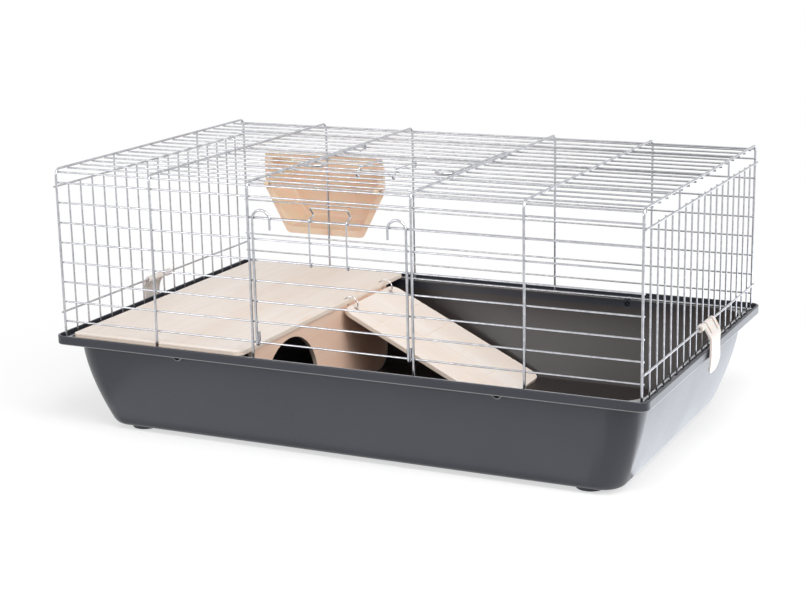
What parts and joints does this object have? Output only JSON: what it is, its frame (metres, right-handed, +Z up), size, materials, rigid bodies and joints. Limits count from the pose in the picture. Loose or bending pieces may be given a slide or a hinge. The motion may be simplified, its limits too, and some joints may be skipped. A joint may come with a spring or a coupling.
{
  "type": "rodent cage",
  "caption": "Rectangular rodent cage: bowed plastic tray, lift-off wire top with front and roof doors, end clips, plywood shelf with arched den, hinged ramp and hay rack.",
  "frame": {"origin": "on the standing surface, below the middle of the part's box", "axes": "+X to the right along the length, +Y to the back, +Z up"},
  "size_m": [0.7786, 0.5102, 0.337],
  "materials": {
    "tray_plastic": "dark grey moulded plastic with a satin sheen",
    "zinc_wire": "bright zinc-plated wire",
    "birch_ply": "bare pale plywood",
    "clip_plastic": "cream plastic",
    "rack_plastic": "amber translucent plastic",
    "ring_steel": "bright steel rings"
  },
  "bodies": {
    "cage": {"tray": "tray_plastic", "cross_frame_1": "zinc_wire", "cross_frame_2": "zinc_wire", "cross_frame_3": "zinc_wire", "cross_frame_4": "zinc_wire", "cross_frame_5": "zinc_wire", "cross_frame_6": "zinc_wire", "front_long_wires": "zinc_wire", "front_left_wires": "zinc_wire", "front_right_wires": "zinc_wire", "back_wires": "zinc_wire", "roof_long_wires": "zinc_wire", "roof_left_wires": "zinc_wire", "roof_right_wires": "zinc_wire", "base_wires": "zinc_wire", "left_end_bars": "zinc_wire", "left_end_rails": "zinc_wire", "right_end_bars": "zinc_wire", "right_end_rails": "zinc_wire", "platform": "birch_ply", "partition": "birch_ply", "ramp_rings": "ring_steel"},
    "front_door": {"front_door_left_side": "zinc_wire", "front_door_right_side": "zinc_wire", "front_door_bars": "zinc_wire"},
    "front_latch": {"front_latch": "zinc_wire"},
    "roof_door": {"roof_door_left_side": "zinc_wire", "roof_door_right_side": "zinc_wire", "roof_door_bars": "zinc_wire"},
    "roof_latch": {"roof_latch": "zinc_wire"},
    "right_clip": {"right_clip": "clip_plastic"},
    "left_clip": {"left_clip": "clip_plastic"},
    "ramp": {"ramp": "birch_ply"},
    "hay_rack": {"hay_rack": "rack_plastic"}
  },
  "joints": [
    {"name": "front_door_hinge", "type": "hinge", "parent": "cage", "child": "front_door", "pos_m": [0, -0.23955, 0.143], "axis": [1, 0, 0], "range_deg": [0, 115]},
    {"name": "front_latch_spring", "type": "hinge", "parent": "front_door", "child": "front_latch", "pos_m": [0, -0.2401, 0.243], "axis": [1, 0, 0], "range_deg": [0, 15], "stiffness_Nm_per_rad": 0.05, "springref_deg": -5.73},
    {"name": "roof_door_hinge", "type": "hinge", "parent": "cage", "child": "roof_door", "pos_m": [0, 0.04908, 0.33245], "axis": [-1, 0, 0], "range_deg": [0, 160]},
    {"name": "roof_latch_spring", "type": "hinge", "parent": "roof_door", "child": "roof_latch", "pos_m": [0, -0.05681, 0.333], "axis": [-1, 0, 0], "range_deg": [0, 15], "stiffness_Nm_per_rad": 0.05, "springref_deg": -5.73},
    {"name": "right_clip_turn", "type": "hinge", "parent": "cage", "child": "right_clip", "pos_m": [0.3777, -0.0046, 0.1545], "axis": [0, -1, 0], "range_deg": [0, 100]},
    {"name": "left_clip_turn", "type": "hinge", "parent": "cage", "child": "left_clip", "pos_m": [-0.3777, -0.0296, 0.1545], "axis": [0, 1, 0], "range_deg": [0, 100]},
    {"name": "ramp_swing", "type": "hinge", "parent": "cage", "child": "ramp", "pos_m": [-0.12, 0.0909, 0.1224], "axis": [0, -1, 0], "range_deg": [0, 70]},
    {"name": "hay_rack_lift", "type": "slide", "parent": "cage", "child": "hay_rack", "axis": [0, 0, 1], "range_m": [0, 0.012]}
  ]
}
